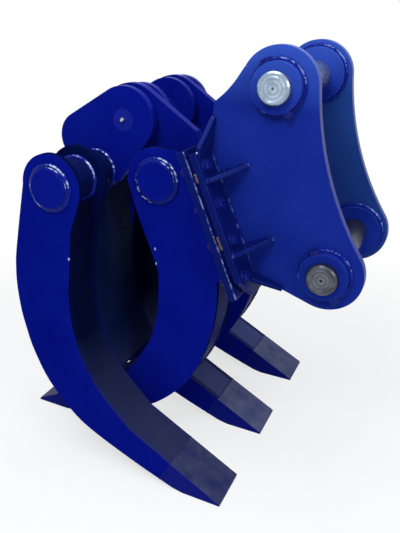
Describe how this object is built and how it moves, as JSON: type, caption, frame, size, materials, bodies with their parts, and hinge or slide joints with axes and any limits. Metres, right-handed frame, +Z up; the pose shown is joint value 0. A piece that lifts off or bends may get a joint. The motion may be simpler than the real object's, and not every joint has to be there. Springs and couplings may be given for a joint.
{
  "type": "mechanical grapple attachment",
  "caption": "Excavator grapple with crossing curved tines on two torque tubes, a hinged moving jaw, and a bolted two-pin hitch head.",
  "frame": {"origin": "on the ground under the middle of the overall box, with the closed grapple standing on its crossed tips", "axes": "+X from the moving jaw towards the hitch pins, +Y across the tines, +Z up"},
  "size_m": [1.0278, 0.856, 1.2082],
  "materials": {
    "blue_paint": "gloss royal blue",
    "inner_paint": "gloss royal blue in shade",
    "worn_tip": "thin blue paint, greyed",
    "turned_steel": "turned, greased",
    "bronze": "machined",
    "fasteners": "zinc plated, part painted"
  },
  "bodies": {
    "fixed_jaw_and_head": {"fixed_near_sides": "blue_paint", "fixed_near_face": "inner_paint", "fixed_near_back": "inner_paint", "fixed_near_tip": "worn_tip", "fixed_far_sides": "blue_paint", "fixed_far_face": "inner_paint", "fixed_far_back": "inner_paint", "fixed_far_tip": "worn_tip", "fixed_infill": "inner_paint", "fixed_upper_infill": "inner_paint", "fixed_torque_tube": "blue_paint", "fixed_tube_caps": "blue_paint", "pivot_lug_near": "blue_paint", "pivot_lug_far": "blue_paint", "pivot_bosses": "blue_paint", "pivot_bushes": "bronze", "thrust_washers": "bronze", "jaw_flange": "blue_paint", "flange_packer": "blue_paint", "head_base": "blue_paint", "flange_bolts": "fasteners", "flange_washers": "fasteners", "flange_nuts": "fasteners", "ear_near": "blue_paint", "ear_far": "blue_paint", "pin_collars": "blue_paint", "ear_inner_bosses": "blue_paint", "hitch_pin_upper": "turned_steel", "hitch_pin_lower": "turned_steel", "pin_lock_bolts": "fasteners", "pin_lock_nuts": "fasteners", "side_gussets": "blue_paint", "top_gussets": "blue_paint", "bottom_gussets": "blue_paint"},
    "moving_jaw": {"moving_near_sides": "blue_paint", "moving_near_face": "inner_paint", "moving_near_back": "inner_paint", "moving_near_tip": "worn_tip", "moving_mid_sides": "blue_paint", "moving_mid_face": "inner_paint", "moving_mid_back": "inner_paint", "moving_mid_tip": "worn_tip", "moving_far_sides": "blue_paint", "moving_far_face": "inner_paint", "moving_far_back": "inner_paint", "moving_far_tip": "worn_tip", "moving_infill": "inner_paint", "moving_upper_infill": "inner_paint", "moving_torque_tube": "blue_paint", "moving_tube_caps": "blue_paint", "link_outer_near": "blue_paint", "link_inner_near": "blue_paint", "link_inner_far": "blue_paint", "link_outer_far": "blue_paint", "pivot_pins": "turned_steel", "grease_nipples": "fasteners"}
  },
  "joints": [
    {"name": "jaw_pivot", "type": "hinge", "parent": "fixed_jaw_and_head", "child": "moving_jaw", "pos_m": [-0.178, 0, 0.998], "axis": [0, 1, 0], "range_deg": [0, 100]}
  ]
}
